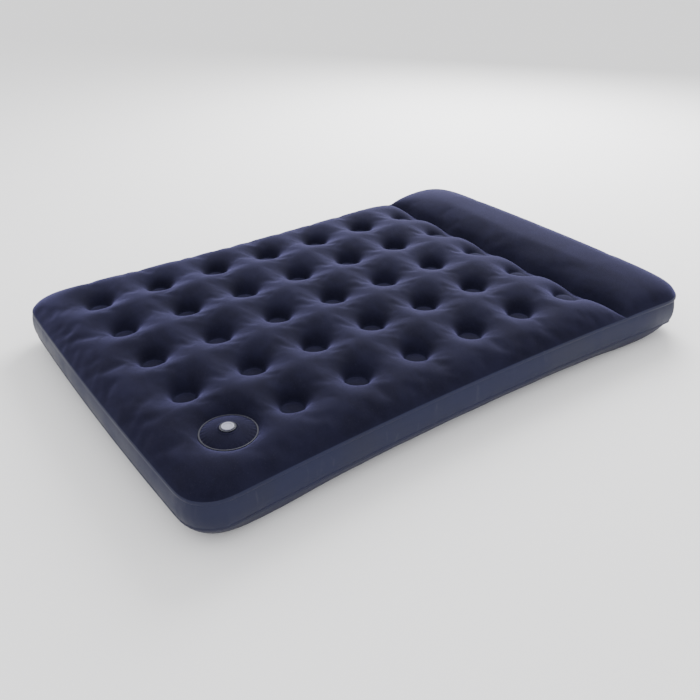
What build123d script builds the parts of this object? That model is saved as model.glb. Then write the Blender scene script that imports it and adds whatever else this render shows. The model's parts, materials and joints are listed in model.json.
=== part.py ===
import os
from math import atan, sqrt, tan

from build123d import *

# Double air mattress with a foot pump and a raised pillow end, as a set of welded
# sheets around coil beams.  Millimetres, +Z up, origin on the floor under the middle,
# +Y towards the pillow.  One STEP file per piece, named as the piece.

# ---- body of the mattress -------------------------------------------------------
length = 1910.0          # over the foot and head walls
width = 1338.0           # where the long sides would meet the end walls
waist_pull = 36.0        # each long side draws in by this at mid length
end_bulge = 14.0         # foot and head walls bow out by this
corner_radius = 105.0    # in plan
sheet = 1.0              # every welded sheet
bottom_rise = 54.0       # floor to bottom seam
band_height = 90.0       # bottom seam to top seam
crown_rise = 50.0        # top seam to the crown of the lying surface
pillow_rise = 68.0       # top seam to the crown of the pillow
hem = 8.0                # the top and bottom sheets lap the side band by this
lap_gap = 0.05           # between the hem and the band, filled by the weld
edge_round = 48.0        # rounding of the crown into the walls
pillow_length = 320.0    # head wall to the weld line between lying surface and pillow

# ---- coil beams and the craters they pull ----------------------------------------
beam_rows = 5            # across the width
beam_columns = 7         # along the length
side_row_gap = 227.0     # long wall to the middle of the outer row
foot_column_gap = 201.5  # foot wall to the middle of the first column
pillow_column_gap = 77.5     # middle of the last column to the pillow seam
disc_radius = 36.0       # weld disc at the bottom of a crater
disc_drop = 44.0         # crown down to the disc, top side
bottom_disc_lift = 37.0  # floor up to the disc, bottom side
crater_radius = 84.0     # crater mouth
tube_radius = 32.0       # outside of a coil beam's tube
flange_width = 4.0       # a coil beam's weld flange, each side of its tube
air_hole_radius = 6.0    # lets air through the tube's wall

# ---- pillow beam -------------------------------------------------------------------
pillow_beam_margin = 75.0    # from each end of the beam to the long side
pillow_beam_hole_radius = 20.0
pillow_beam_holes = 5
pillow_beam_gap = 0.3        # to the craters that it is cut round

# ---- foot pump ---------------------------------------------------------------------
pump_inset = 217.0       # from the long wall and from the foot wall
pump_radius = 75.0       # inside of the welded ring
pump_drop = 28.0         # crown down to the pump ring
pump_slope = 22.0        # width of the sloping wall around the ring
ring_width = 4.5
ring_height = 2.4
running_gap = 0.8        # cover to ring, all round
cover_thickness = 1.4
dome_height = 17.0
cover_skirt = 8.0
well_depth = 96.0        # pump ring down to the well's floor
foam_gap = 1.5
foam_pocket_radius = 27.0
foam_pocket_depth = 34.0
outlet_bore = 11.0       # radius
outlet_lip = 7.0
grommet_flange = 1.5     # thickness of the outlet's rims
collar_bore = 12.0       # radius of the inlet
collar_wall = 3.5
collar_rim_radius = 22.5
collar_rim_height = 2.5  # above the dome's crown
collar_depth = 9.0
plug_radius = 17.0
plug_thickness = 2.6
plug_gap = 0.3
plug_stop = 2.0          # from the plug's end up to the collar's low end
dish_radius = 12.0       # finger dish in the plug
dish_depth = 0.8
flap_thickness = 1.0
flap_gap = 0.3
flap_lap = 1.5           # a flap covers its hole by this
flap_hinge = 3.0         # edge of the hole to the flap's hinge line

# ---- deflation valve in the head wall ---------------------------------------------
valve_bore = 20.3        # inside radius of the socket
socket_wall = 3.2
socket_depth = 14.0      # behind the wall
socket_lip = 3.0         # in front of the wall
socket_lip_width = 3.5   # beyond the socket's wall
weld_flange_width = 9.5
weld_flange = 1.5
thread_gap = 0.3
insert_head_lap = 5.2    # beyond the socket's bore
insert_head = 3.2
insert_depth = 11.0
nozzle_bore = 9.0        # takes a pump's nozzle
nozzle_wall = 3.0
nozzle_height = 4.0
lip_gap = 0.3            # socket's lip to the wall
gasket = 0.8
gasket_inset = 1.0       # in from the edge of the insert's head
edge_break = 0.8         # rounding of the moulded edges
cap_wall = 2.0
cap_skirt = 2.0
cap_hinge = 17.5         # valve axis up to the cap's hinge line
cap_strap = 8.0          # width
grips = 12               # notches round the insert's head
grip_radius = 2.4
grip_out = 0.8           # a notch's centre outside the head's edge

cutter = 120.0           # long enough to pass right through what it cuts

pillow_seam_y = length / 2 - pillow_length
beam_pitch_x = (width - 2 * side_row_gap) / (beam_rows - 1)
beam_pitch_y = (length - pillow_length - foot_column_gap - pillow_column_gap) / (beam_columns - 1)
pump_x = width / 2 - pump_inset
pump_y = pump_inset - length / 2
top_seam = bottom_rise + band_height
crown = top_seam + crown_rise
pillow_crown = top_seam + pillow_rise
disc_z = crown - disc_drop
ring_z = crown - pump_drop
well_floor = ring_z - well_depth
valve_z = bottom_rise + band_height / 2
pieces = {}


def outline(inset=0.0):
    """Plan of the mattress, four wide arcs with round corners, all drawn in by inset."""
    end_radius = ((width / 2) ** 2 + end_bulge**2) / (2 * end_bulge)
    waist_radius = ((length / 2) ** 2 + waist_pull**2) / (2 * waist_pull)
    end_arc = Rotation(0, 0, 45) * Circle(end_radius - inset)
    waist_arc = Rotation(0, 0, 45) * Circle(waist_radius + inset)
    end_centre = length / 2 - end_radius
    plan = Pos(0, end_centre) * end_arc & Pos(0, -end_centre) * end_arc
    for side in (-1, 1):
        plan -= Pos(side * (width / 2 - waist_pull + waist_radius), 0) * waist_arc
    return fillet(plan.vertices(), corner_radius - inset)


def zone(y_low, y_high):
    """A wide rectangle that keeps one stretch of the plan."""
    return Pos(0, (y_low + y_high) / 2) * Rectangle(2 * width, y_high - y_low)


def slab(plan, z_low, z_high, rounding):
    """The plan raised to a slab whose top edge is rounded."""
    block = Pos(0, 0, z_low) * extrude(plan, z_high - z_low)
    return fillet(block.faces().sort_by(Axis.Z)[-1].edges(), rounding)


def ring(outer, inner, height):
    """A flat ring on the XY plane."""
    return extrude(Circle(outer) - Circle(inner), height)


def beam_places():
    """Every coil beam's row, column and centre; the pump stands in for one of them."""
    for row in range(beam_rows):
        x = side_row_gap - width / 2 + row * beam_pitch_x
        for column in range(beam_columns):
            y = foot_column_gap - length / 2 + column * beam_pitch_y
            if row == beam_rows - 1 and column == 0:
                continue
            yield row + 1, column + 1, x, y


def crater(depth, mouth, bottom, grow=0.0):
    """What a crater takes out of the crown above z=0, or that grown by a sheet."""
    slope = atan(depth / (mouth - bottom))
    low = bottom + grow * tan(slope / 2)
    reach = depth + grow + 1.0
    cone = Cone(low, low + reach / tan(slope), reach, align=(Align.CENTER, Align.CENTER, Align.MIN))
    return Pos(0, 0, -depth - grow) * cone


def sheet_shell(plan_outer, plan_inner, z_low, z_high, rounding, hollows, grown):
    """A thin skin: a slab less a slab one sheet smaller, both with their craters."""
    outer = slab(plan_outer, z_low, z_high, rounding) - hollows
    inner = slab(plan_inner, z_low, z_high - sheet, rounding - sheet) - grown
    return outer - inner


def make_sheets():
    beams = list(beam_places())
    pump_hollow = (pump_drop, pump_radius + ring_width + pump_slope, pump_radius + ring_width)
    hollows = [Pos(x, y, crown) * crater(disc_drop, crater_radius, disc_radius) for _, _, x, y in beams]
    grown = [Pos(x, y, crown) * crater(disc_drop, crater_radius, disc_radius, sheet) for _, _, x, y in beams]
    hollows.append(Pos(pump_x, pump_y, crown) * crater(*pump_hollow))
    grown.append(Pos(pump_x, pump_y, crown) * crater(*pump_hollow, sheet))
    lying = zone(-length, pillow_seam_y)
    lying_inside = zone(-length, pillow_seam_y - sheet)
    top = sheet_shell(
        outline() & lying, outline(sheet) & lying_inside, top_seam - hem, crown, edge_round, hollows, grown
    )
    well_mouth = Cylinder(pump_radius + running_gap, cutter)
    band_room = Pos(0, 0, top_seam - hem) * extrude(outline(sheet), hem)
    pieces["top_sheet"] = top - Pos(pump_x, pump_y, ring_z) * well_mouth - band_room

    head = zone(pillow_seam_y, length)
    head_inside = zone(pillow_seam_y + sheet, length)
    pillow = sheet_shell(
        outline() & head, outline(sheet) & head_inside, top_seam - hem, pillow_crown, edge_round, [], []
    )
    pieces["pillow_panel"] = pillow - band_room

    lower = [Pos(x, y) * crater(bottom_disc_lift, crater_radius, disc_radius) for _, _, x, y in beams]
    lower_grown = [
        Pos(x, y) * crater(bottom_disc_lift, crater_radius, disc_radius, sheet) for _, _, x, y in beams
    ]
    underside = sheet_shell(
        outline(), outline(sheet), -bottom_rise - hem, 0, edge_round, lower, lower_grown
    )
    pieces["bottom_sheet"] = mirror(underside, Plane.XY)

    band = extrude(outline(sheet + lap_gap) - outline(2 * sheet + lap_gap), band_height)
    valve_hole = Rotation(90, 0, 0) * Cylinder(valve_bore + socket_wall + thread_gap, cutter)
    pieces["side_band"] = Pos(0, 0, bottom_rise) * band - Pos(0, length / 2, valve_z) * valve_hole


def make_coil_beams():
    """Each beam is a welded tube with a flange at both ends and two air holes."""
    foot = bottom_disc_lift + sheet
    head = disc_z - sheet
    height = head - foot
    tube = ring(tube_radius, tube_radius - sheet, height)
    flange = ring(tube_radius + flange_width, tube_radius - flange_width, sheet)
    beam = tube + flange + Pos(0, 0, height - sheet) * flange
    beam -= Pos(0, 0, height / 2) * Rotation(0, 90, 0) * Cylinder(air_hole_radius, cutter)
    for row, column, x, y in beam_places():
        pieces[f"coil_beam_r{row}c{column}"] = Pos(x, y, foot) * beam


def make_pillow_beam():
    """The inner wall under the pillow seam, with holes that let the air through."""
    floor = sheet
    ceiling = top_seam
    span = width - 2 * pillow_beam_margin
    wall = Pos(0, pillow_seam_y, (floor + ceiling) / 2) * Box(span, 2 * sheet, ceiling - floor)
    step = span / pillow_beam_holes
    for hole in range(pillow_beam_holes):
        x = (hole - (pillow_beam_holes - 1) / 2) * step
        drill = Rotation(90, 0, 0) * Cylinder(pillow_beam_hole_radius, cutter)
        wall -= Pos(x, pillow_seam_y, (bottom_disc_lift + ceiling) / 2) * drill
    for _, _, x, y in beam_places():
        if pillow_seam_y - y < crater_radius:
            room = crater(bottom_disc_lift, crater_radius, disc_radius, sheet + pillow_beam_gap)
            wall -= mirror(Pos(x, y) * room, Plane.XY)
    pieces["pillow_beam"] = wall


def dome_arc(radius, rise, z, r_from, r_to):
    """Part of a dome's outline, between two distances from its axis, its rim at z."""
    ball = (radius**2 + rise**2) / (2 * rise)
    stops = (r_from, (r_from + r_to) / 2, r_to)
    return ThreePointArc(*[(r, z + rise - ball + sqrt(ball**2 - r**2)) for r in stops])


def turned(*outline_parts):
    """A solid of revolution about Z from a closed outline of distance and height."""
    return revolve(Plane.XZ * make_face(outline_parts), Axis.Z)


def flap(hole_radius):
    """A round flap under a hole at z=0, with a tab out to its hinge line at +X."""
    reach = hole_radius + flap_hinge
    tab = Pos(reach / 2, 0) * Rectangle(reach, hole_radius)
    return Pos(0, 0, -flap_thickness) * extrude(Circle(hole_radius + flap_lap) + tab, flap_thickness)


def make_pump():
    here = Pos(pump_x, pump_y, 0)
    cover_radius = pump_radius - running_gap
    well_radius = pump_radius + running_gap

    bead = ring(pump_radius + ring_width, pump_radius, ring_height)
    bead = fillet(bead.faces().sort_by(Axis.Z)[-1].edges(), ring_height / 3)
    pieces["pump_ring"] = here * Pos(0, 0, ring_z) * bead

    wall_height = ring_z - sheet - well_floor
    well = Pos(0, 0, well_floor) * ring(well_radius, well_radius - sheet, wall_height)
    well += Pos(0, 0, well_floor) * ring(well_radius, outlet_bore + sheet, sheet)
    well += Pos(0, 0, ring_z - 2 * sheet) * ring(pump_radius + ring_width, well_radius - sheet, sheet)
    pieces["pump_well"] = here * well

    apex = ring_z + dome_height
    collar_radius = collar_bore + collar_wall
    inside = cover_radius - cover_thickness
    outer = dome_arc(cover_radius, dome_height, ring_z, cover_radius, collar_radius)
    inner = dome_arc(inside, dome_height - cover_thickness, ring_z, collar_radius, inside)
    skirt_z = ring_z - cover_skirt
    skirt = Polyline(inner @ 1, (inside, skirt_z), (cover_radius, skirt_z), outer @ 0)
    pieces["pump_cover"] = here * turned(outer, Line(outer @ 1, inner @ 0), inner, skirt)

    foam_radius = inside - foam_gap
    foam_bottom = well_floor + sheet + outlet_lip
    pocket_z = apex - cover_thickness - foam_pocket_depth
    foam_rise = dome_height - cover_thickness - foam_gap
    foam_top = dome_arc(inside, foam_rise, ring_z, foam_radius, foam_pocket_radius)
    pocket = Polyline(foam_top @ 1, (foam_pocket_radius, pocket_z), (0, pocket_z), (0, foam_bottom))
    block = Polyline((0, foam_bottom), (foam_radius, foam_bottom), foam_top @ 0)
    pieces["pump_foam"] = here * turned(foam_top, pocket, block)

    tube_low = apex - collar_depth
    tube_top = apex + collar_rim_height
    rest = dome_arc(cover_radius, dome_height, ring_z + flap_gap, collar_radius, collar_rim_radius)
    collar = Polyline(
        rest @ 1, (collar_rim_radius, tube_top), (collar_bore, tube_top), (collar_bore, tube_low),
        (collar_radius, tube_low), rest @ 0,
    )
    pieces["inlet_collar"] = here * turned(rest, collar)

    plug_depth = tube_top - tube_low - plug_stop
    plug = Pos(0, 0, tube_top - plug_depth) * extrude(Circle(collar_bore - plug_gap), plug_depth)
    head = extrude(Circle(plug_radius), plug_thickness)
    head = fillet(head.faces().sort_by(Axis.Z)[-1].edges(), plug_thickness / 3)
    finger_dish = Pos(0, 0, plug_thickness - dish_depth) * extrude(Circle(dish_radius), plug_thickness)
    pieces["inlet_plug"] = here * (plug + Pos(0, 0, tube_top) * (head - finger_dish))

    pieces["inlet_flap"] = here * Pos(0, 0, tube_low - flap_gap) * flap(collar_bore)

    seat_low = well_floor - grommet_flange
    grommet = Pos(0, 0, seat_low) * ring(outlet_bore + sheet, outlet_bore, sheet + 2 * grommet_flange)
    for z in (seat_low, well_floor + sheet):
        grommet += Pos(0, 0, z) * ring(outlet_bore + outlet_lip, outlet_bore, grommet_flange)
    pieces["outlet_seat"] = here * grommet
    pieces["outlet_flap"] = here * Pos(0, 0, seat_low - flap_gap) * flap(outlet_bore)


def along_y(solid, y):
    """Turn a piece made along +Z so that it points out of the head wall."""
    return Pos(0, y, valve_z) * Rotation(-90, 0, 0) * solid


def make_valve():
    wall = length / 2 - sheet
    back = 2 * sheet + 2 * lap_gap
    behind = Pos(0, 0, bottom_rise) * extrude(outline(back), band_height)
    deeper = Pos(0, 0, bottom_rise) * extrude(outline(back + weld_flange), band_height)
    socket_radius = valve_bore + socket_wall
    reach = along_y(Cylinder(socket_radius + weld_flange_width, cutter), wall)
    tube = ring(socket_radius, valve_bore, socket_depth + socket_lip)
    lip = Pos(0, 0, socket_depth + lip_gap) * ring(
        socket_radius + socket_lip_width, valve_bore, socket_lip - lip_gap
    )
    core = along_y(Cylinder(valve_bore, cutter), wall)
    socket = ((behind - deeper) & reach) - core + along_y(tube + lip, wall - socket_depth)
    pieces["valve_socket"] = socket

    face = wall + socket_lip
    insert_head_radius = valve_bore + insert_head_lap
    pieces["valve_gasket"] = along_y(
        ring(insert_head_radius - gasket_inset, valve_bore + thread_gap, gasket), face
    )

    head = extrude(Circle(insert_head_radius), insert_head)
    head = fillet(head.faces().sort_by(Axis.Z)[-1].edges(), edge_break)
    for notch in range(grips):
        turn = Rotation(0, 0, 360 / grips * (notch + 0.5))
        head -= turn * Pos(insert_head_radius + grip_out, 0) * Cylinder(grip_radius, cutter)
    body = Pos(0, 0, -insert_depth) * extrude(Circle(valve_bore - thread_gap), insert_depth)
    nozzle = Pos(0, 0, insert_head) * extrude(Circle(nozzle_bore + nozzle_wall), nozzle_height)
    insert = body + head + nozzle - Cylinder(nozzle_bore, cutter)
    pieces["valve_insert"] = along_y(insert, face + gasket)

    diaphragm = Rotation(0, 0, -90) * flap(nozzle_bore)
    pieces["valve_diaphragm"] = along_y(diaphragm, face + gasket - insert_depth - flap_gap)

    cap_inner = nozzle_bore + nozzle_wall + flap_gap
    cap = extrude(Circle(cap_inner + cap_wall), cap_wall + cap_skirt)
    cap = fillet(cap.faces().sort_by(Axis.Z)[-1].edges(), edge_break)
    cap -= extrude(Circle(cap_inner), cap_skirt)
    strap = Pos(0, -(cap_inner + cap_hinge) / 2) * Rectangle(cap_strap, cap_hinge - cap_inner)
    cap += extrude(strap, cap_skirt)
    cap_low = face + gasket + insert_head + nozzle_height + flap_gap - cap_skirt
    pieces["valve_cap"] = along_y(cap, cap_low)


make_sheets()
make_coil_beams()
make_pillow_beam()
make_pump()
make_valve()

os.makedirs("parts", exist_ok=True)
for name, shape in pieces.items():
    shape.label = name
    export_step(shape, f"parts/{name}.step")
print(len(pieces), "pieces written")
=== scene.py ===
# %% [markdown]
# # An inflated double airbed, skin by skin
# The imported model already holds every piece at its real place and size. This file makes the soft skins that show,
# gives every piece its finish, and sets a small studio round them. Everything is in metres, +Z up, with the
# pillow at +Y and the foot pump in the corner at +X, -Y.

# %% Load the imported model
import json
from math import cos, pi, radians, sin

import bpy
import numpy as np
from mathutils import Matrix, Vector


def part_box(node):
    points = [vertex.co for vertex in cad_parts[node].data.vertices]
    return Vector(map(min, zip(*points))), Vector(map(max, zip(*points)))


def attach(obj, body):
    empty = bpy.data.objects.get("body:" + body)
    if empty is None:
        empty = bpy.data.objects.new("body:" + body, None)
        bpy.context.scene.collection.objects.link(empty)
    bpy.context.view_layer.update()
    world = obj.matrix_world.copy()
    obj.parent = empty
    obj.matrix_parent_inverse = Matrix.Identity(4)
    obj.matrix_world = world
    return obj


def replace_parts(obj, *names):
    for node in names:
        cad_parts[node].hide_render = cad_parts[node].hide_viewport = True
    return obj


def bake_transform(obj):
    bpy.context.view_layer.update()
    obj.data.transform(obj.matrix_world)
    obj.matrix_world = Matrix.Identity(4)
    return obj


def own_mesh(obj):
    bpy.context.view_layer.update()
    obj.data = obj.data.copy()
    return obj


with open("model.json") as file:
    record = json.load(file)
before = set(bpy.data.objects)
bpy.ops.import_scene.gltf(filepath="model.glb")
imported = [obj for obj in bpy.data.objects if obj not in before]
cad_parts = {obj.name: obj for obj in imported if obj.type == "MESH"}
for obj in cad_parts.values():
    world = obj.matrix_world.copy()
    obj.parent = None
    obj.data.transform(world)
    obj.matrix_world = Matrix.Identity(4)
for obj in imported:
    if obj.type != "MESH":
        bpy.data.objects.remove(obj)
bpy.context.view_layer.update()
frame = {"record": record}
scene = bpy.context.scene

# %% [markdown]
# ## The camera
# A product camera stands back from one corner and looks down at about thirty degrees, so that the top, the long
# side and the foot end all show. The place is worked out from a target, two angles and a distance, because those
# are easier to change than a matrix. The small roll is a rotation of the right and up axes about the view line.

# %% Camera
camera_target = Vector((0.3433, -0.2703, 0.198))
camera_distance = 2.3958
camera_azimuth, camera_elevation, camera_roll = radians(55.065), radians(30.881), radians(-0.874)
camera_lens = 41.43

back = Vector((sin(camera_azimuth) * cos(camera_elevation), -cos(camera_azimuth) * cos(camera_elevation),
               sin(camera_elevation)))
level = Vector((0, 0, 1)).cross(back).normalized()
above = back.cross(level)
right = cos(camera_roll) * level + sin(camera_roll) * above
up = cos(camera_roll) * above - sin(camera_roll) * level
camera = bpy.data.objects.new("camera", bpy.data.cameras.new("camera"))
camera.data.lens = camera_lens
camera.data.sensor_width = 36
camera.data.clip_end = 60
camera.matrix_world = Matrix.Translation(camera_target + camera_distance * back) @ Matrix(
    (right, up, back)).transposed().to_4x4()
scene.collection.objects.link(camera)
scene.camera = camera
print("camera at", [round(v, 3) for v in camera.matrix_world.translation])

# %% [markdown]
# ## Sizes that the skins share
# The skins have to meet at the seams, so the plan of the bed is one pair of formulas that they all use: long sides
# that draw in at the waist, ends that bow out a little, and round corners. `room_inside` is a signed distance: how
# far a point lies inside the seam line. Heights come from the CAD nodes' own boxes where they can.

# %% Shared sizes and the plan
half_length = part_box("bottom_sheet")[1][1]
half_width = 0.669           # where the long sides would meet the end walls
waist_pull = 0.036           # each long side draws in by this
end_bulge = 0.014            # each end bows out by this
corner_radius = 0.105
bottom_seam, top_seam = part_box("side_band")[0][2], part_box("side_band")[1][2]
hem_depth = top_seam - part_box("top_sheet")[0][2]
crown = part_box("top_sheet")[1][2]
pillow_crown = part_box("pillow_panel")[1][2]
rows, columns = 5, 7         # of weld discs, across and along
pitch_x, pitch_y = 0.221, 0.2185
grid_y = -0.098              # where the middle column is
disc_radius = 0.035
disc_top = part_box("coil_beam_r1c1")[1][2] + 0.0018        # the skins pass just clear of the beams' flanges
disc_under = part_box("coil_beam_r1c1")[0][2] - 0.0012
ring_low, ring_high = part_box("pump_ring")
pump = Vector(((ring_low[0] + ring_high[0]) / 2, (ring_low[1] + ring_high[1]) / 2, ring_low[2]))
ring_outside = (ring_high[0] - ring_low[0]) / 2
ring_inside = ring_outside - 0.0045
pillow_seam_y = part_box("pillow_panel")[0][1]
rng = np.random.default_rng(7)


def wall_x(y):
    return half_width - waist_pull * (1 - (y / half_length) ** 2)


def wall_y(x):
    return half_length - end_bulge * (x / half_width) ** 2


def room_inside(x, y):
    """How far a point is inside the seam line, seen from above."""
    qx = np.abs(x) - (wall_x(y) - corner_radius)
    qy = np.abs(y) - (wall_y(x) - corner_radius)
    outside = np.hypot(np.maximum(qx, 0), np.maximum(qy, 0)) + np.minimum(np.maximum(qx, qy), 0)
    return corner_radius - outside


def pillow_line(x):
    """The weld between lying surface and pillow: it leans a little and is drawn in at each row of beams."""
    x = np.clip(x, -rows / 2 * pitch_x, rows / 2 * pitch_x)
    return pillow_seam_y - 0.014 * x - 0.005 * np.cos(2 * pi * x / pitch_x)


def from_disc(x, y):
    """Distance to the middle of the nearest weld disc, seen from above."""
    across = (x / pitch_x + 0.5) % 1 - 0.5
    along = ((y - grid_y) / pitch_y + 0.5) % 1 - 0.5
    return np.hypot(across * pitch_x, along * pitch_y)


print("length", round(2 * half_length, 3), "m, waist", round(2 * wall_x(0), 3), "m, crown", round(crown, 3), "m")

# %% [markdown]
# ## A net that fits the craters
# A plain grid would cut the round weld discs into steps. Here each cell of the bed gets its own little polar grid:
# rings that are round at the disc and square at the cell's edge, so neighbouring cells share their edge points. A
# strip then runs from the cells out to the seam line. `Net` joins points that coincide.

# %% Net builder
side_steps = 12              # points along one side of a cell
ring_steps = (0.05, 0.14, 0.26, 0.40, 0.56, 0.72, 0.87)
disc_rings = (0.93, 0.82, 0.74, 0.4)
strip_steps = 8
corner_fan = 0.11            # the strip turns its corners within this


class Net:
    """Points in plan with a tag each, and the faces between them."""

    def __init__(self):
        self.points, self.tags, self.faces, self.known = [], [], [], {}

    def point(self, x, y, tag="free"):
        key = (round(float(x), 6), round(float(y), 6))
        if key not in self.known:
            self.known[key] = len(self.points)
            self.points.append((float(x), float(y)))
            self.tags.append(tag)
        elif tag != "free":
            self.tags[self.known[key]] = tag
        return self.known[key]

    def ladder(self, lower, upper, closed=False):
        """Quads between two rows of points."""
        count = len(lower) if closed else len(lower) - 1
        for k in range(count):
            n = (k + 1) % len(lower)
            self.faces.append((lower[k], lower[n], upper[n], upper[k]))


def cell_edge(node, i, j):
    """The points round one cell, anticlockwise."""
    s = side_steps
    loop = [node(i + k, j) for k in range(s)] + [node(i + s, j + k) for k in range(s)]
    return loop + [node(i + s - k, j + s) for k in range(s)] + [node(i, j + s - k) for k in range(s)]


def add_crater(net, node, i, j, centre, radius, tag, filled=True):
    """One cell: rings from the round weld out to the cell's edge, and the disc inside unless it stays open."""
    corners = cell_edge(node, i, j)
    edge = np.array(corners) - centre
    reach = np.hypot(*edge.T)
    unit = edge / reach[:, None]
    rings = [[net.point(*xy, tag) for xy in centre + unit * radius]]
    for t in ring_steps:
        rings.append([net.point(*xy) for xy in centre + unit * (radius + (reach - radius) * t)[:, None]])
    rings.append([net.point(*xy) for xy in corners])
    for inside, outside in zip(rings, rings[1:]):
        net.ladder(outside, inside, closed=True)
    if not filled:
        return
    outer = rings[0]
    for share in disc_rings:
        ring = [net.point(*(centre + u * radius * share), tag) for u in unit]
        net.ladder(outer, ring, closed=True)
        outer = ring
    middle = net.point(*centre, tag)
    net.faces += [(middle, a, b) for a, b in zip(outer, outer[1:] + outer[:1])]


def add_plain(net, node, i, j, steps_x, steps_y):
    """A stretch of plain grid."""
    for b in range(steps_y):
        lower = [net.point(*node(i + a, j + b)) for a in range(steps_x + 1)]
        upper = [net.point(*node(i + a, j + b + 1)) for a in range(steps_x + 1)]
        net.ladder(lower, upper)


def strip_out(net, loop, round_foot=True, round_head=True):
    """A strip from a row of cell points out to the seam line, fanned round the corners."""
    closed = round_foot and round_head
    inner = np.array(loop)
    x_core = inner[:, 0].max() - corner_fan
    y_low = inner[:, 1].min() + (corner_fan if round_foot else -half_length)
    y_high = inner[:, 1].max() - (corner_fan if round_head else -half_length)
    core = np.stack([np.clip(inner[:, 0], -x_core, x_core), np.clip(inner[:, 1], y_low, y_high)], 1)
    way = inner - core
    way /= np.hypot(*way.T)[:, None]
    near, far = np.zeros(len(inner)), np.full(len(inner), 2 * corner_fan)
    for _ in range(40):
        half = (near + far) / 2
        still = room_inside(*(inner + way * half[:, None]).T) > 0
        near, far = np.where(still, half, near), np.where(still, far, half)
    before = [net.point(*xy) for xy in inner]
    for step in range(1, strip_steps + 1):
        tag = "seam" if step == strip_steps else "free"
        row = [net.point(*xy, tag) for xy in inner + way * (near * step / strip_steps)[:, None]]
        net.ladder(row, before, closed)
        before = row
    return before


x_nodes = np.linspace(-rows / 2 * pitch_x, rows / 2 * pitch_x, rows * side_steps + 1)
y_nodes = grid_y + np.linspace(-columns / 2 * pitch_y, columns / 2 * pitch_y, columns * side_steps + 1)
print("cell points:", len(x_nodes), "across by", len(y_nodes), "along")

# %% [markdown]
# ## Heights like a soap film
# Air pushes the skin up everywhere, and the beams and seams hold it down. A film that is loaded evenly follows
# Poisson's equation. On a net of triangles that is a set of linear equations: each edge pulls with the cotangents of
# the angles opposite it, and each point carries the load on its share of the area. The conjugate gradient method
# solves them in a few hundred steps. The lift then levels off where it is large, since a tight skin cannot go on
# rising, and a power below one makes the walls of the craters steeper.

# %% Film solver
def pulls(points, faces):
    """The edges of a net with their strengths, and the area that each point carries."""
    triangles = np.array([(f[0], f[k], f[k + 1]) for f in faces for k in range(1, len(f) - 1)])
    first, second, strength = [], [], []
    for k in range(3):
        tip, a, b = triangles[:, k], triangles[:, k - 1], triangles[:, k - 2]
        to_a, to_b = points[a] - points[tip], points[b] - points[tip]
        twice_area = np.abs(to_a[:, 0] * to_b[:, 1] - to_a[:, 1] * to_b[:, 0]) + 1e-12
        first.append(a)
        second.append(b)
        strength.append(0.5 * np.sum(to_a * to_b, axis=1) / twice_area)
    area = sum(np.bincount(triangles[:, k], twice_area / 6, len(points)) for k in range(3))
    return np.concatenate(first), np.concatenate(second), np.concatenate(strength), area


def film(points, faces, held, values, load, rounds=500):
    """Heights at rest for an even load, with the held points kept at their values."""
    a, b, strength, area = pulls(points, faces)
    count = len(points)

    def tension(heights):
        flow = strength * (heights[a] - heights[b])
        total = np.bincount(a, flow, count) - np.bincount(b, flow, count)
        total[held] = 0
        return total

    scale = np.bincount(a, strength, count) + np.bincount(b, strength, count)
    now = values.astype(float)
    rest = load * area - tension(now)
    rest[held] = 0
    search = rest / scale
    size = rest @ search
    for _ in range(rounds):
        if size < 1e-18:
            break
        effect = tension(search)
        step = size / (search @ effect)
        now = now + step * search
        rest = rest - step * effect
        fresh = rest / scale
        before, size = size, rest @ fresh
        search = fresh + size / before * search
    return now


def inflated(points, faces, held, levels, rise, fullness, levelling=1.3):
    """Heights of an inflated skin: a base that joins the held levels, plus the rise of the film."""
    start = np.where(held, levels, levels[held].mean())
    base = film(points, faces, held, start, 0.0)
    lift = np.maximum(film(points, faces, held, np.zeros(len(points)), 1.0), 0)
    lift = 1 - np.exp(-levelling * lift / np.percentile(lift[~held], 90))
    return base + rise * (lift / (1 - np.exp(-levelling))) ** fullness


print("film solver ready")


# %% [markdown]
# ## Cloth finishes the shape
# The film is smooth and perfect. A short run of Blender's Cloth with pressure, from that shape, with the welds held
# still and the skin a little larger than its frame, adds the slack, the small folds beside the welds and the uneven
# crowns that real vinyl has. How far a point may move is capped, so the skin stays close to its CAD solid.

# %% Cloth helper
def settle_with_air(piece, held, pressure, slack=0.012, frames=16, cap=0.010):
    """Blow a skin up with the cloth solver and keep the result in its mesh."""
    start = np.array([v.co for v in piece.data.vertices])
    group = piece.vertex_groups.new(name="welds")
    group.add([int(k) for k in np.flatnonzero(held)], 1.0, "REPLACE")
    air = piece.modifiers.new("air", "CLOTH")
    air.settings.quality = 4
    air.settings.mass = 0.25
    air.settings.tension_stiffness = 25
    air.settings.compression_stiffness = 8
    air.settings.shear_stiffness = 8
    air.settings.bending_stiffness = 0.3
    air.settings.vertex_group_mass = "welds"
    air.settings.use_pressure = True
    air.settings.uniform_pressure_force = pressure
    air.settings.shrink_min = -slack
    air.settings.effector_weights.gravity = 0
    air.collision_settings.use_collision = False
    air.point_cache.frame_start, air.point_cache.frame_end = 1, frames
    for number in range(1, frames + 1):
        scene.frame_set(number)
    result = piece.evaluated_get(bpy.context.evaluated_depsgraph_get()).data
    moved = np.array([v.co for v in result.vertices]) - start
    size = np.linalg.norm(moved, axis=1)
    scale = np.minimum(1, cap / np.maximum(size, 1e-9))
    piece.modifiers.remove(air)
    piece.vertex_groups.clear()
    piece.data.vertices.foreach_set("co", (start + moved * scale[:, None]).ravel())
    piece.data.update()
    scene.frame_set(1)
    print(f"  air moved {piece.name} by {1000 * np.median(size):.1f} mm, at most {1000 * size.max():.1f} mm")


print("cloth helper ready")

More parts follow.
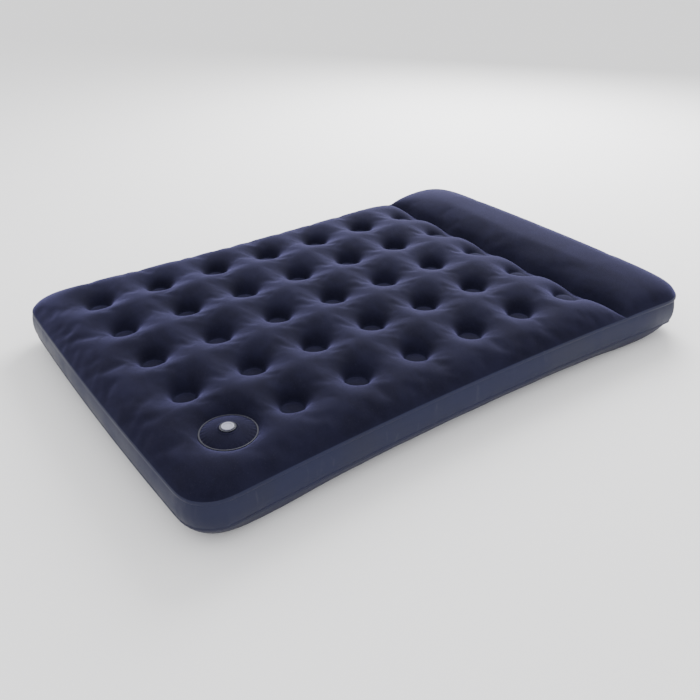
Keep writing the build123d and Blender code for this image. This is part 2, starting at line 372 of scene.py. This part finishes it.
# %% [markdown]
# ## Meshes, marks and hems
# Each skin laps the side band by eight millimetres and is welded to it, which leaves a thin raised border all round.
# `with_hem` carries a skin's rim out over that edge, along the band, and back in at its end. Welds are pressed flat
# and lose their pile, so every point also keeps a number from 0 to 1, called weld, that the materials read later.

# %% Mesh helpers
hem_profile = ((0.0010, 0.0012), (0.0013, 0.0045), (0.0012, hem_depth - 0.0006), (0.0002, hem_depth))


def outward(x, y):
    """Direction square to the seam line, away from the middle of the bed."""
    step = 1e-4
    way = np.array([room_inside(x - step, y) - room_inside(x + step, y),
                    room_inside(x, y - step) - room_inside(x, y + step)])
    return way / np.hypot(*way)


def with_hem(skin, faces, rim, direction, closed=False):
    """Lap a skin's rim over the side band; direction is 1 up the band and -1 down it."""
    skin, faces = [tuple(place) for place in skin], list(faces)
    ways = [outward(*skin[k][:2]) for k in rim]
    before = rim
    for out, along in hem_profile:
        row = []
        for k, way in zip(rim, ways):
            row.append(len(skin))
            skin.append((skin[k][0] + out * way[0], skin[k][1] + out * way[1], skin[k][2] + direction * along))
        for k in range(len(rim) if closed else len(rim) - 1):
            n = (k + 1) % len(rim)
            faces.append((row[k], row[n], before[n], before[k]))
        before = row
    return np.array(skin), faces


def new_piece(name, points, faces, weld=None, turned_over=False, body="root"):
    """A smooth mesh piece that rides on a body, or on none yet."""
    mesh = bpy.data.meshes.new(name)
    order = -1 if turned_over else 1
    mesh.from_pydata([tuple(map(float, p)) for p in points], [], [tuple(map(int, f))[::order] for f in faces])
    mesh.update()
    mesh.shade_smooth()
    if weld is not None:
        marks = mesh.attributes.new("weld", "FLOAT", "POINT")
        marks.data.foreach_set("value", np.asarray(weld, dtype=np.float32))
    piece = bpy.data.objects.new(name, mesh)
    scene.collection.objects.link(piece)
    if body:
        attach(piece, body)
    return piece


def weld_marks(count, x, y, tags):
    """A 1 for each point of a skin that is welded flat. Points past the net belong to its hem."""
    marks = np.ones(count)
    marks[:len(x)] = (tags != "free") & ~((tags == "disc") & (from_disc(x, y) < 0.7 * disc_radius))
    return marks


def held_with_hem(held, count):
    """The held points of a skin once its hem is added: the hem can't move either."""
    return np.concatenate([held, np.ones(count - len(held), bool)])


def rounded(piece):
    """One step of subdivision, after the mesh has its final points."""
    smoother = piece.modifiers.new("round", "SUBSURF")
    smoother.levels = smoother.render_levels = 1
    return piece


print("mesh helpers ready")

# %% [markdown]
# ## The lying surface
# Seven by five cells, with the pump in the place of one, and a strip out to the seam on three sides. The fourth
# side ends at the pillow weld, which lies as low as the seams do. The far points of the last cells are drawn to that
# line. Each disc is pressed a little differently, and the air in the beam's tube lifts its middle.

# %% Lying surface
disc_lift = rng.uniform(0.0, 0.003, (rows, columns))
disc_profile = ((0, 0.4, 0.74, 0.82, 0.93, 1.0), (0.0022, 0.0018, 0.0008, 0.0002, -0.0003, 0.0))


def top_node(i, j):
    """The points that the cells share. The last cells are squeezed or stretched to end on the pillow weld."""
    x, y = x_nodes[i], y_nodes[j]
    last = (columns - 1) * side_steps
    if j > last:
        y = y_nodes[last] + (pillow_line(x) - y_nodes[last]) * (j - last) / side_steps
    return x, y


def crater_cells(net, node):
    """Add every cell that has a weld disc, and hand back the place of the one that has the pump instead."""
    for column in range(columns):
        for row in range(rows):
            centre = np.array(((row - (rows - 1) / 2) * pitch_x, grid_y + (column - (columns - 1) / 2) * pitch_y))
            if row == rows - 1 and column == 0:
                yield row * side_steps, column * side_steps
            else:
                add_crater(net, node, row * side_steps, column * side_steps, centre, disc_radius, "disc")


def disc_levels(x, y, level, sign):
    """Heights of the weld discs, each a little off its nominal level."""
    row = np.clip(np.rint(x / pitch_x + (rows - 1) / 2), 0, rows - 1).astype(int)
    column = np.clip(np.rint((y - grid_y) / pitch_y + (columns - 1) / 2), 0, columns - 1).astype(int)
    return level + disc_lift[row, column] + sign * np.interp(from_disc(x, y) / disc_radius, *disc_profile)


def read_skin(net):
    """The places and tags of a net's points, with those on the pillow weld tagged as held."""
    x, y = np.array(net.points).T
    tags = np.array(net.tags)
    tags[(tags == "free") & (np.abs(y - pillow_line(x)) < 1e-6)] = "weld"
    return x, y, tags, tags != "free"


last_i, last_j = rows * side_steps, columns * side_steps
net = Net()
for i, j in crater_cells(net, top_node):
    add_crater(net, top_node, i, j, np.array(pump[:2]), ring_outside, "ring", filled=False)
loop = [top_node(0, last_j - k) for k in range(last_j)] + [top_node(k, 0) for k in range(last_i)]
loop += [top_node(last_i, k) for k in range(last_j + 1)]
rim = strip_out(net, loop, round_head=False)
x, y, tags, held = read_skin(net)
levels = np.full(len(x), top_seam)
levels[tags == "disc"] = disc_levels(x, y, disc_top, 1)[tags == "disc"]
levels[tags == "ring"] = pump.z
z = inflated(np.column_stack([x, y]), net.faces, held, levels, rise=crown + 0.003 - disc_top, fullness=0.98)
skin, faces = with_hem(np.column_stack([x, y, z]), net.faces, rim, -1)
lying = new_piece("lying_surface", skin, faces, weld_marks(len(skin), x, y, tags))
lying["hem_from"] = len(net.faces)
settle_with_air(lying, held_with_hem(held, len(skin)), pressure=2.5, slack=0.010)
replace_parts(rounded(lying), "top_sheet")
print("lying surface:", len(skin), "points, z", round(skin[:, 2].min(), 3), "to", round(skin[:, 2].max(), 3))

# %% [markdown]
# ## The pillow
# The pillow is one long chamber behind the weld. It has no beams of its own, so it rises higher than the rest and
# is as round as its skin allows. It takes the same steps: a grid, a strip round the head end, the film, the air.

# %% Pillow
pillow_steps = 17
strip_width = 0.094          # from the grid to the head wall


def pillow_node(i, j):
    """A grid from the pillow weld to where the strip begins."""
    near, far = pillow_line(x_nodes[i]), half_length - strip_width
    return x_nodes[i], near + (far - near) * j / pillow_steps


net = Net()
add_plain(net, pillow_node, 0, 0, last_i, pillow_steps)
loop = [pillow_node(last_i, k) for k in range(pillow_steps)]
loop += [pillow_node(last_i - k, pillow_steps) for k in range(last_i)]
loop += [pillow_node(0, pillow_steps - k) for k in range(pillow_steps + 1)]
rim = strip_out(net, loop, round_foot=False)
x, y, tags, held = read_skin(net)
levels = np.full(len(x), top_seam)
z = inflated(np.column_stack([x, y]), net.faces, held, levels, rise=pillow_crown - top_seam - 0.006, fullness=0.60)
skin, faces = with_hem(np.column_stack([x, y, z]), net.faces, rim, -1)
pillow = new_piece("pillow_skin", skin, faces, weld_marks(len(skin), x, y, tags))
pillow["hem_from"] = len(net.faces)
settle_with_air(pillow, held_with_hem(held, len(skin)), pressure=2.0, slack=0.003)
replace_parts(rounded(pillow), "pillow_panel")
print("pillow:", len(skin), "points, z", round(skin[:, 2].min(), 3), "to", round(skin[:, 2].max(), 3))

# %% [markdown]
# ## The underside
# The lower skin is the same idea upside down. Where the bed stands it is pressed flat, so its heights are simply cut
# off at the floor. It has no pump opening, because the pump's well ends above it.

# %% Underside
head_steps = 4


def under_node(i, j):
    """The cells' points, and past them a plain grid to where the strip begins at the head end."""
    x, y = x_nodes[i], y_nodes[min(j, last_j)]
    if j > last_j:
        y += (half_length - strip_width - y) * (j - last_j) / head_steps
    return x, y


net = Net()
for i, j in crater_cells(net, under_node):
    add_plain(net, under_node, i, j, side_steps, side_steps)
add_plain(net, under_node, 0, last_j, last_i, head_steps)
top_j = last_j + head_steps
loop = [under_node(k, 0) for k in range(last_i)] + [under_node(last_i, k) for k in range(top_j)]
loop += [under_node(last_i - k, top_j) for k in range(last_i)] + [under_node(0, top_j - k) for k in range(top_j)]
rim = strip_out(net, loop)
x, y = np.array(net.points).T
tags = np.array(net.tags)
held = tags != "free"
levels = np.zeros(len(x))
levels[tags == "disc"] = bottom_seam - disc_levels(x, y, disc_under, -1)[tags == "disc"]
drop = inflated(np.column_stack([x, y]), net.faces, held, levels, rise=1.25 * bottom_seam, fullness=0.95)
z = np.maximum(bottom_seam - drop, 0)
skin, faces = with_hem(np.column_stack([x, y, z]), net.faces, rim, 1, closed=True)
marks = weld_marks(len(skin), x, y, tags)
under = new_piece("underside", skin, faces, marks, turned_over=True)
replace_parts(rounded(under), "bottom_sheet")
seam_line = np.column_stack([x, y])[rim]
print("underside:", len(skin), "points;", int((z == 0).sum()), "of them on the floor")

# %% [markdown]
# ## The side band
# A single strip of vinyl runs round the whole bed between the two seams. Air bows it out by a few millimetres, and
# the welds at its edges leave short upright puckers that fade towards the middle. Round the valve it lies flat, and
# a round hole lets the valve's socket through.

# %% Side band
band_points, band_rows = 760, 15
band_bulge, pucker_size = 0.007, 0.0004
valve_low, valve_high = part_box("valve_insert")
valve_z = (valve_low[2] + valve_high[2]) / 2
valve_hole, valve_flat = 0.0236, 0.035      # radius of the hole, and of the flat vinyl round it


def even_line(line, count):
    """A closed line again, with its points evenly spaced."""
    ring = np.vstack([line, line[:1]])
    along = np.concatenate([[0], np.cumsum(np.hypot(*np.diff(ring, axis=0).T))])
    places = np.linspace(0, along[-1], count, endpoint=False)
    return np.column_stack([np.interp(places, along, ring[:, k]) for k in (0, 1)]), along[-1]


line, band_length = even_line(seam_line, band_points)
ways = np.array([outward(*place) for place in line])
waves = rng.integers(60, 190, 14)
turns = np.linspace(0, 2 * pi, band_points, endpoint=False)
pucker = sum(np.sin(n * turns + rng.uniform(0, 2 * pi)) for n in waves) / 4
patches = 0.5 + 0.5 * np.sin(5 * turns + 1.1) * np.sin(11 * turns + 0.3)
skin = []
for z in np.linspace(bottom_seam + 0.001, top_seam - 0.001, band_rows):
    t = np.clip((z - bottom_seam - hem_depth) / (top_seam - bottom_seam - 2 * hem_depth), 0, 1)
    from_valve = np.hypot(line[:, 0], z - valve_z) + np.where(line[:, 1] > 0, 0, half_length)
    bow = band_bulge * (4 * t * (1 - t)) ** 0.8 * (1 - np.exp(-(from_valve / 0.07) ** 4))
    near_seam = abs(2 * t - 1) ** 2 * (4 * t * (1 - t) > 0)
    out = bow + pucker_size * (0.25 + near_seam) * pucker * patches - 0.0004
    flat = line + ways * np.where(from_valve < valve_flat, 0, out)[:, None]
    skin += [(px, py, z) for px, py in flat]
skin = np.array(skin)
net = Net()
for row in range(band_rows - 1):
    start = row * band_points
    lower = list(range(start, start + band_points))
    net.ladder(lower, [k + band_points for k in lower], closed=True)
spread = np.where(skin[:, 1] > 0, np.hypot(skin[:, 0], skin[:, 2] - valve_z), 1.0)
faces = [f for f in net.faces if spread[list(f)].mean() > valve_hole]
edge = [k for k in {k for f in faces for k in f} if spread[k] < valve_hole + 0.004]
for k in edge:
    scale = valve_hole / spread[k]
    skin[k] = (skin[k][0] * scale, skin[k][1], valve_z + (skin[k][2] - valve_z) * scale)
used = sorted({k for f in faces for k in f})
renumber = {k: n for n, k in enumerate(used)}
faces = [tuple(renumber[k] for k in f) for f in faces]
band = new_piece("side_wall", skin[used], faces)
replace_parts(rounded(band), "side_band")
print("side band:", len(used), "points along", round(band_length, 3), "m")

# %% [markdown]
# ## Turned pieces
# The pump's cover and the foam under it are round, so each is a profile turned about the pump's upright axis. A
# profile is a list of distances and heights, and a ripple may be added to it before it is turned.

# %% Turning helper
def turned(name, profile, segments=96, ripple=None, body="root"):
    """Turn a profile of (distance, height) about the pump's axis; it closes on itself unless it meets the axis."""
    angles = np.linspace(0, 2 * pi, segments, endpoint=False)
    points, rows_of_points, faces = [], [], []
    for r, z in profile:
        if r == 0:
            rows_of_points.append([len(points)] * segments)
            points.append((pump.x, pump.y, z))
            continue
        rows_of_points.append(list(range(len(points), len(points) + segments)))
        for angle in angles:
            lift = ripple(r, angle) if ripple else 0
            points.append((pump.x + r * cos(angle), pump.y + r * sin(angle), z + lift))
    pairs = list(zip(rows_of_points, rows_of_points[1:]))
    if profile[0][0] and profile[-1][0]:
        pairs.append((rows_of_points[-1], rows_of_points[0]))
    for lower, upper in pairs:
        for k in range(segments):
            n = (k + 1) % segments
            corners = (lower[k], lower[n], upper[n], upper[k])
            faces.append(tuple(dict.fromkeys(corners)))
    return rounded(new_piece(name, points, faces, body=body))


print("turning helper ready")

# %% [markdown]
# ## The pump's cover
# A flocked vinyl dome is welded into the ring. The weld gathers the vinyl into small spokes near the rim, and a
# second weld holds the inlet collar at the top.

# %% Pump cover
cover_rim, cover_hole, cover_rise, cover_wall = ring_inside + 0.0015, 0.0158, 0.0168, 0.0013


def dome_height(r):
    return pump.z + cover_rise * (1 - (r / cover_rim) ** 2.2)


def spokes(r, angle):
    """Small gathers at the rim that die out up the dome."""
    share = np.clip((r - 0.045) / (cover_rim - 0.045), 0, 1) * (r < cover_rim - 0.002)
    return 0.0006 * share ** 2 * (sin(31 * angle) + 0.6 * sin(47 * angle + 1.7) + 0.4 * sin(13 * angle))


outside = [(r, float(dome_height(r))) for r in np.linspace(cover_rim, 0.032, 18)]
weld_ring = [(0.0295, 0.0003), (0.0285, 0.0010), (0.0265, 0.0010), (0.0255, 0.0003), (0.0235, 0.0)]
outside += [(r, float(dome_height(r)) + lift) for r, lift in weld_ring]
outside += [(0.019, float(dome_height(0.019))), (cover_hole, float(dome_height(cover_hole)))]
inside = [(r, float(dome_height(r)) - cover_wall) for r in np.linspace(cover_hole, cover_rim - 0.002, 20)]
cover = turned("pump_dome", outside + inside, segments=144, ripple=spokes, body=None)
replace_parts(cover, "pump_cover")
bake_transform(cover)
print("pump cover:", len(cover.data.vertices), "points, top at", round(max(z for _, z in outside), 4))

# %% [markdown]
# ## The foam in the pump
# A soft open-cell block fills the well and follows the dome. It has soft edges, a slight waist, and a pocket under
# the inlet. It can't follow the cover as a rigid body would, so it flattens towards the floor of the well.

# %% Pump foam
foam_low, foam_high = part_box("pump_foam")
foam_radius = (foam_high[0] - foam_low[0]) / 2 - 0.001
pocket_radius, pocket_floor = 0.027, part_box("pump_cover")[1][2] - 0.036
side_low, side_high = foam_low[2], float(dome_height(foam_radius)) - 0.006
foam = [(0, side_low), (foam_radius - 0.010, side_low), (foam_radius - 0.003, side_low + 0.0015)]
for t in np.linspace(0.05, 0.97, 9):
    foam.append((foam_radius - 0.0016 * sin(pi * t), side_low + (side_high - side_low) * t))
foam += [(r, float(dome_height(r)) - 0.0040) for r in np.linspace(foam_radius - 0.004, pocket_radius + 0.003, 8)]
foam += [(pocket_radius, float(dome_height(pocket_radius)) - 0.008), (pocket_radius - 0.0006, pocket_floor + 0.004)]
foam += [(pocket_radius - 0.004, pocket_floor), (0, pocket_floor)]
block = turned("foam_block", foam, segments=72)
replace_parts(block, "pump_foam")
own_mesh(block)
print("foam block:", len(block.data.vertices), "points, radius", round(foam_radius, 4))

# %% [markdown]
# ## Declared sheets
# ## Sheet lengths
# Four pieces are cut from flat vinyl. Here the lengths of the lying surface's sheet and the pillow's sheet are worked
# out.

# %% Sheets
lying_length = half_length + pillow_line(0) + 0.08
half_length - pillow_line(0) + 0.06

# %% [markdown]
# ## Effects that several finishes share
# A node group is a small machine that is built once and used in many materials. It gives out only numbers and
# colours that change over the surface; the shader itself stays in each material.

# %% Group helpers
def add_node(tree, kind, inputs=None, **settings):
    """A node with its settings, and its inputs set or linked."""
    node = tree.nodes.new(kind)
    for key, value in settings.items():
        setattr(node, key, value)
    for key, value in (inputs or {}).items():
        if isinstance(value, bpy.types.NodeSocket):
            tree.links.new(value, node.inputs[key])
        else:
            node.inputs[key].default_value = value
    return node


def new_group(name, inputs, outputs):
    """An empty group with number inputs and outputs; also its input sockets by name."""
    tree = bpy.data.node_groups.new(name, "ShaderNodeTree")
    for label, value in inputs.items():
        tree.interface.new_socket(label, in_out="INPUT", socket_type="NodeSocketFloat").default_value = value
    for label in outputs:
        tree.interface.new_socket(label, in_out="OUTPUT", socket_type="NodeSocketFloat")
    return tree, tree.nodes.new("NodeGroupInput").outputs


def place(tree, group, **values):
    """Put a group into a material."""
    node = tree.nodes.new("ShaderNodeGroup")
    node.node_tree = group
    for label, value in values.items():
        node.inputs[label].default_value = value
    return node.outputs


def ramp(tree, value, low, high, to_low=0.0, to_high=1.0):
    """Stretch a range of values smoothly onto another."""
    return add_node(tree, "ShaderNodeMapRange", {"Value": value, "From Min": low, "From Max": high, "To Min": to_low,
                                                 "To Max": to_high}, interpolation_type="SMOOTHSTEP").outputs[0]


def mixed(tree, factor, first, second):
    """A colour between two colours."""
    node = add_node(tree, "ShaderNodeMix", {0: factor}, data_type="RGBA")
    for socket, colour in ((node.inputs[6], first), (node.inputs[7], second)):
        if isinstance(colour, bpy.types.NodeSocket):
            tree.links.new(colour, socket)
        else:
            socket.default_value = (*colour, 1)
    return node.outputs[2]


def combined(tree, operation, first, second):
    """Two numbers added or multiplied."""
    return add_node(tree, "ShaderNodeMath", {0: first, 1: second}, operation=operation).outputs[0]


def noise(tree, where, scale, detail=3.0, distortion=0.0):
    """Soft random values at a scale."""
    settings = {"Vector": where, "Scale": scale, "Detail": detail, "Distortion": distortion}
    return add_node(tree, "ShaderNodeTexNoise", settings).outputs[0]


print("group helpers ready")

# %% [markdown]
# ### Pile, grain and handling
# Flock is a pile of tiny upright fibres. At arm's length it shows as fine speckle and as soft patches where the pile
# leans one way or another. Vinyl shows a pressed leather grain. Everything that people carry and fold shows faint
# handling: broad cloudy patches, a little dust and a few rub marks.

# %% Shared groups
pile, sockets = new_group("pile", {"Fibre Scale": 900.0, "Patch Scale": 7.0}, ("Speckle", "Lean", "Height"))
where = add_node(pile, "ShaderNodeTexCoord").outputs["Object"]
fibre = noise(pile, where, sockets["Fibre Scale"], detail=2.0)
clump = noise(pile, where, 230.0, detail=2.0)
lean = noise(pile, where, sockets["Patch Scale"], detail=4.0, distortion=1.2)
streak = noise(pile, add_node(pile, "ShaderNodeMapping", {0: where, 3: (0.35, 1.0, 1.0)}).outputs[0], 30.0)
both = combined(pile, "ADD", combined(pile, "MULTIPLY", lean, 0.65), combined(pile, "MULTIPLY", streak, 0.35))
rough_pile = combined(pile, "ADD", combined(pile, "MULTIPLY", fibre, 0.6), combined(pile, "MULTIPLY", clump, 0.4))
add_node(pile, "NodeGroupOutput", {"Speckle": ramp(pile, rough_pile, 0.3, 0.7), "Lean": ramp(pile, both, 0.35, 0.65),
                                   "Height": rough_pile})

grain, sockets = new_group("grain", {"Scale": 520.0}, ("Height", "Pits"))
where = add_node(grain, "ShaderNodeTexCoord").outputs["Object"]
pebbles = add_node(grain, "ShaderNodeTexVoronoi", {"Vector": where, "Scale": sockets["Scale"], "Randomness": 0.9},
                   feature="SMOOTH_F1").outputs["Distance"]
fine = noise(grain, where, 1500.0, detail=1.0)
height = combined(grain, "ADD", ramp(grain, pebbles, 0.1, 0.6, 1.0, 0.0), combined(grain, "MULTIPLY", fine, 0.25))
add_node(grain, "NodeGroupOutput", {"Height": height, "Pits": ramp(grain, pebbles, 0.35, 0.65)})

handling, sockets = new_group("handling", {"Cloud Scale": 5.0, "Rub Scale": 42.0}, ("Cloud", "Rubs", "Dust"))
where = add_node(handling, "ShaderNodeTexCoord").outputs["Object"]
cloud = noise(handling, where, sockets["Cloud Scale"], detail=5.0, distortion=0.5)
rubs = noise(handling, add_node(handling, "ShaderNodeMapping", {0: where, 3: (1.0, 1.0, 0.2)}).outputs[0],
             sockets["Rub Scale"], detail=6.0, distortion=0.8)
specks = noise(handling, where, 340.0, detail=1.0)
add_node(handling, "NodeGroupOutput", {
    "Cloud": ramp(handling, cloud, 0.3, 0.7),
    "Rubs": ramp(handling, rubs, 0.6, 0.75),
    "Dust": ramp(handling, specks, 0.66, 0.78),
})
print("groups:", [group.name for group in bpy.data.node_groups])

# %% [markdown]
# ## Finishes
# Each finish is one material with its own shader. `finish` starts it, sets the numbers that are the same all over on
# the shader's own sockets, and hands back the parts that the next lines connect.

# %% Finish helpers
def finish(name, **numbers):
    """A new material with one shader, its even numbers set."""
    material = bpy.data.materials.new(name)
    material.use_nodes = True
    tree = material.node_tree
    shader = tree.nodes["Principled BSDF"]
    for label, value in numbers.items():
        shader.inputs[label.replace("_", " ")].default_value = value
    return material, tree, shader


def connect(tree, shader, colour, roughness, height, strength, distance):
    """Wire colour, roughness and relief into the shader."""
    tree.links.new(colour, shader.inputs["Base Color"])
    tree.links.new(roughness, shader.inputs["Roughness"])
    bump = add_node(tree, "ShaderNodeBump", {"Strength": strength, "Distance": distance, "Height": height})
    tree.links.new(bump.outputs[0], shader.inputs["Normal"])


def vinyl(name, dark, light, smooth, rough, scale, strength, **numbers):
    """Grained vinyl: two close shades, a broad cloud of wear, pressed grain."""
    material, tree, shader = finish(name, **numbers)
    skin_grain, wear = place(tree, grain, Scale=scale), place(tree, handling)
    base = mixed(tree, wear["Cloud"], dark, light)
    dusty = tuple(0.75 * c + 0.06 for c in light)
    colour = mixed(tree, combined(tree, "MULTIPLY", wear["Rubs"], 0.15), base, dusty)
    shine = ramp(tree, wear["Cloud"], 0.0, 1.0, smooth, rough)
    connect(tree, shader, colour, shine, skin_grain["Height"], strength, 0.0004)
    return material


finishes = {}
print("finish helpers ready")

# %% [markdown]
# ### Flock
# The pile is dark blue. Seen straight on it swallows the light, and at a glancing angle the fibre tips catch it, so
# it takes a strong sheen and hardly any gloss. On the welds the pile is crushed a little, so there it is smoother.

# %% Flock
flock, tree, shader = finish("navy_flock", Sheen_Weight=0.50, Sheen_Roughness=0.34, Specular_IOR_Level=0.08,
                             Sheen_Tint=(0.27, 0.26, 0.62, 1))
nap, wear = place(tree, pile), place(tree, handling)
weld_mark = add_node(tree, "ShaderNodeAttribute", attribute_name="weld").outputs["Fac"]
pile_colour = mixed(tree, nap["Lean"], (0.0040, 0.0040, 0.0110), (0.0070, 0.0070, 0.0190))
pile_colour = mixed(tree, combined(tree, "MULTIPLY", nap["Speckle"], 0.35), pile_colour, (0.012, 0.012, 0.026))
pile_colour = mixed(tree, combined(tree, "MULTIPLY", wear["Dust"], 0.20), pile_colour, (0.05, 0.05, 0.07))
crushed = combined(tree, "MULTIPLY", weld_mark, 0.3)
colour = mixed(tree, crushed, pile_colour, (0.008, 0.009, 0.024))
roughness = ramp(tree, crushed, 0.0, 1.0, 0.95, 0.70)
connect(tree, shader, colour, roughness, nap["Height"], 0.45, 0.0012)
finishes["flocked_pvc"] = flock

# %% [markdown]
# ### Vinyl, plastic, rubber and foam
# The side band is satin vinyl in slate blue. The underside has a coarser pressed pattern so that it grips the floor;
# its dark blue is partly the vinyl's own colour and partly painted shade for the shadow under the bed's edge.
# Moulded parts are smoother, with a little coat on the plug, and the foam shows its open cells, with painted shade
# in their pits.

# %% The other finishes
finishes["side_pvc"] = vinyl("slate_vinyl", (0.0065, 0.0080, 0.029), (0.009, 0.011, 0.038), 0.45, 0.58, 620.0, 0.25,
                             Specular_IOR_Level=0.24)
# The underside's dark blue is partly its own colour and partly painted shade for the shadow under the bed's edge.
finishes["under_pvc"] = vinyl("grip_vinyl_with_painted_shade", (0.012, 0.013, 0.032), (0.017, 0.018, 0.043), 0.55, 0.68, 210.0, 0.55,
                              Specular_IOR_Level=0.25)
finishes["ring_pvc"] = vinyl("ring_vinyl", (0.006, 0.007, 0.019), (0.009, 0.010, 0.027), 0.55, 0.66, 700.0, 0.20,
                             Specular_IOR_Level=0.35)
finishes["inner_pvc"] = vinyl("clear_grey_vinyl", (0.40, 0.42, 0.45), (0.56, 0.58, 0.60), 0.30, 0.42, 480.0, 0.15,
                              Subsurface_Weight=0.2)
finishes["collar_vinyl"] = vinyl("collar_vinyl", (0.010, 0.011, 0.022), (0.017, 0.018, 0.034), 0.32, 0.46, 900.0, 0.12)
finishes["plug_vinyl"] = vinyl("grey_plug", (0.24, 0.24, 0.32), (0.30, 0.30, 0.39), 0.26, 0.38, 1100.0, 0.08,
                               Coat_Weight=0.25)
finishes["flap_rubber"] = vinyl("black_rubber", (0.020, 0.020, 0.022), (0.034, 0.034, 0.037), 0.55, 0.70, 850.0, 0.30)
finishes["valve_vinyl"] = vinyl("socket_vinyl", (0.022, 0.025, 0.044), (0.034, 0.038, 0.060), 0.34, 0.46, 900.0, 0.12)
finishes["valve_plastic"] = vinyl("valve_plastic", (0.34, 0.35, 0.42), (0.42, 0.43, 0.50), 0.28, 0.40, 1300.0, 0.08)

foam_finish, tree, shader = finish("open_foam", Sheen_Weight=0.2, Subsurface_Weight=0.15)
cells, wear = place(tree, grain, Scale=430.0), place(tree, handling)
# Painted shade: the foam is coloured darker in the pits of its cells.
foam_colour = mixed(tree, cells["Pits"], (0.66, 0.63, 0.54), (0.30, 0.28, 0.23))
foam_colour = mixed(tree, combined(tree, "MULTIPLY", wear["Cloud"], 0.4), foam_colour, (0.74, 0.69, 0.55))
connect(tree, shader, foam_colour, ramp(tree, cells["Pits"], 0, 1, 0.85, 0.98), cells["Height"], 0.9, 0.0012)
finishes["foam"] = foam_finish
print("finishes:", ", ".join(material.name for material in finishes.values()))

# %% [markdown]
# ## Giving every piece its finish
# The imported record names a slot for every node, and the new pieces name theirs. Moulded parts also get a fine bevel,
# because no moulded edge is perfectly sharp and a sharp one never catches the light. The pile stops at the seam: the
# hem below it is bare vinyl like the side band, so those faces take a second finish.

# %% Apply the finishes
slots = {part["node"]: part["material_slot"] for part in frame["record"]["subparts"]}
bevelled = ("pump_ring", "inlet_collar", "inlet_plug", "valve_socket", "valve_insert", "valve_cap", "outlet_seat")
for node, slot in slots.items():
    part = bpy.data.objects[node]
    part.data.materials.clear()
    part.data.materials.append(finishes[slot])
    if node in bevelled:
        edge_round = part.modifiers.new("soft_edge", "BEVEL")
        edge_round.width, edge_round.segments, edge_round.limit_method = 0.0004, 2, "ANGLE"
        edge_round.angle_limit = radians(40)
for piece, slot in ((lying, "flocked_pvc"), (pillow, "flocked_pvc"), (cover, "flocked_pvc"), (under, "under_pvc"),
                    (band, "side_pvc"), (block, "foam")):
    piece.data.materials.append(finishes[slot])
for piece in (lying, pillow):
    piece.data.materials.append(finishes["side_pvc"])
    for face in piece.data.polygons[piece["hem_from"]:]:
        face.material_index = 1
print(len(slots), "nodes and 6 pieces finished")

# %% [markdown]
# ## Studio
# A wide pale floor and an even white surround give the soft, almost shadowless light of a catalogue. One large soft
# lamp behind the head end models the craters: it lights the slopes that face away from the camera. A faint second
# lamp fills in from the front.

# %% Floor and lights
floor_mesh = bpy.data.meshes.new("studio_floor")
floor_mesh.from_pydata([(-20, -20, 0), (20, -20, 0), (20, 20, 0), (-20, 20, 0)], [], [(0, 1, 2, 3)])
floor = bpy.data.objects.new("studio_floor", floor_mesh)
scene.collection.objects.link(floor)
floor_finish, tree, shader = finish("pale_floor", Roughness=0.8, Specular_IOR_Level=0.1)
shader.inputs["Base Color"].default_value = (0.93, 0.93, 0.94, 1)
floor_mesh.materials.append(floor_finish)

world = bpy.data.worlds.new("studio")
scene.world = world
world.use_nodes = True
world.node_tree.nodes["Background"].inputs["Color"].default_value = (1, 1, 1, 1)
world.node_tree.nodes["Background"].inputs["Strength"].default_value = 1.5


def soft_lamp(name, place_at, aim, size, power):
    """A square lamp that faces a point."""
    data = bpy.data.lights.new(name, "AREA")
    data.shape, data.size, data.energy = "SQUARE", size, power
    lamp = bpy.data.objects.new(name, data)
    lamp.location = place_at
    lamp.rotation_euler = (Vector(aim) - Vector(place_at)).to_track_quat("-Z", "Y").to_euler()
    scene.collection.objects.link(lamp)


soft_lamp("head_lamp", (-1.9, 2.6, 2.3), (0, 0, 0.15), 2.4, 260)
soft_lamp("front_fill", (2.6, -2.2, 1.8), (0.1, -0.2, 0.1), 2.6, 14)
print("floor, surround and two lamps")
